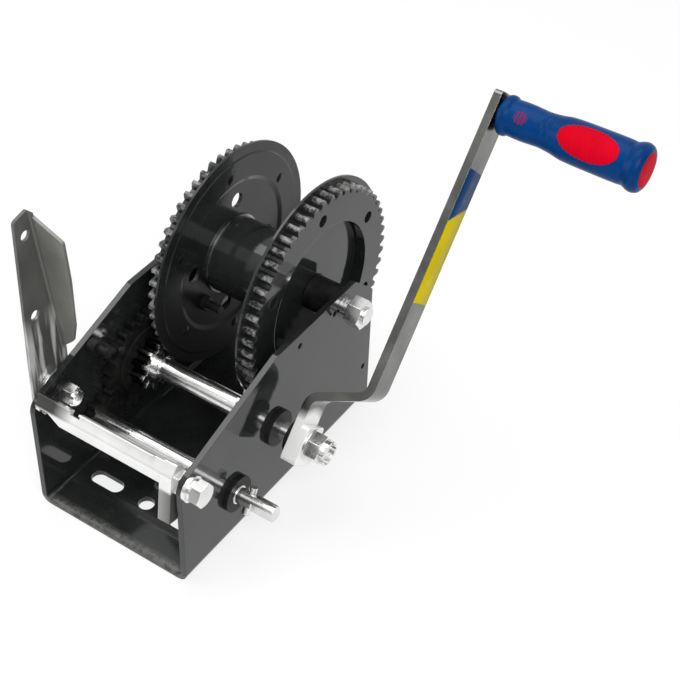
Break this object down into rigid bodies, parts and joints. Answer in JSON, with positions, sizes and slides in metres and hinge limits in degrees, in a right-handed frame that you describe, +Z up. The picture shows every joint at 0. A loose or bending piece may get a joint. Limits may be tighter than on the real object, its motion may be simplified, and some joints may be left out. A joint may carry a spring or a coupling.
{
  "type": "two-speed trailer hand winch",
  "caption": "Hand winch with a folded channel frame, a geared cable drum, a cranked drive shaft, a second low-speed shaft and a folded side lever.",
  "frame": {"origin": "middle of the base's bolt pattern, on the underside of the base", "axes": "+X to the crank side, +Y to the back of the frame, +Z up"},
  "size_m": [0.289, 0.2707, 0.2564],
  "materials": {
    "black_paint": "gloss",
    "black_steel": "satin",
    "bright_zinc": "gloss",
    "satin_zinc": "satin",
    "blue_grip": "satin",
    "red_cap": "satin"
  },
  "bodies": {
    "frame": {"frame": "black_paint", "drum_axle": "bright_zinc", "axle_nut_spacer": "bright_zinc", "axle_nut": "bright_zinc", "left_axle_sleeve": "black_steel", "right_axle_sleeve": "black_steel", "left_drive_bushing": "black_steel", "right_drive_bushing": "black_steel", "left_low_bushing": "black_steel", "right_low_bushing": "black_steel", "front_brace": "bright_zinc", "brace_bolt": "bright_zinc", "brace_bolt_washer": "bright_zinc", "brace_spring_washer": "bright_zinc", "brace_nut": "bright_zinc", "lever_bolt": "bright_zinc", "lever_washer": "bright_zinc", "lever_nut": "bright_zinc", "pawl_stud": "black_steel"},
    "drum": {"left_flange": "black_paint", "right_flange": "black_paint", "left_drum_gear": "black_paint", "right_drum_gear": "black_paint", "drum_hub": "black_paint", "drum_bushing": "black_steel", "hub_collar": "black_paint", "left_rivets": "black_steel", "right_rivets": "black_steel", "rope_clamp_bolt": "black_steel"},
    "drive": {"drive_shaft": "bright_zinc", "drive_tube": "bright_zinc", "left_pinion": "bright_zinc", "right_pinion": "bright_zinc", "middle_gear": "black_steel", "gear_disc": "black_steel", "crank_arm": "satin_zinc", "crank_washer": "bright_zinc", "crank_nut": "bright_zinc", "crank_disc": "black_steel", "grip_spindle": "bright_zinc"},
    "low_drive": {"low_shaft": "bright_zinc", "low_pinion": "black_steel", "low_pin": "bright_zinc"},
    "grip": {"grip": "blue_grip", "grip_cap": "red_cap"},
    "lever": {"brake_lever": "satin_zinc"},
    "pawl": {"pawl": "black_steel"}
  },
  "joints": [
    {"name": "drum_spin", "type": "hinge", "parent": "frame", "child": "drum", "pos_m": [0, 0.0677, 0.1107], "axis": [1, 0, 0], "continuous": true},
    {"name": "crank_spin", "type": "hinge", "parent": "frame", "child": "drive", "pos_m": [0, -0.00708, 0.06102], "axis": [1, 0, 0], "continuous": true},
    {"name": "low_spin", "type": "hinge", "parent": "frame", "child": "low_drive", "pos_m": [0, -0.05171, 0.03877], "axis": [1, 0, 0], "continuous": true},
    {"name": "grip_spin", "type": "hinge", "parent": "drive", "child": "grip", "pos_m": [0, 0.14747, 0.2407], "axis": [1, 0, 0], "continuous": true},
    {"name": "lever_swing", "type": "hinge", "parent": "frame", "child": "lever", "pos_m": [0, -0.078, 0.084], "axis": [1, 0, 0], "range_deg": [0, 35]},
    {"name": "pawl_lift", "type": "hinge", "parent": "frame", "child": "pawl", "pos_m": [0, -0.0485, 0.1015], "axis": [1, 0, 0], "range_deg": [0, 25]}
  ],
  "couplings": [
    {"joint": "crank_spin", "follows": "drum_spin", "ratio": -4.7273},
    {"joint": "low_spin", "follows": "drum_spin", "ratio": 10.314}
  ]
}
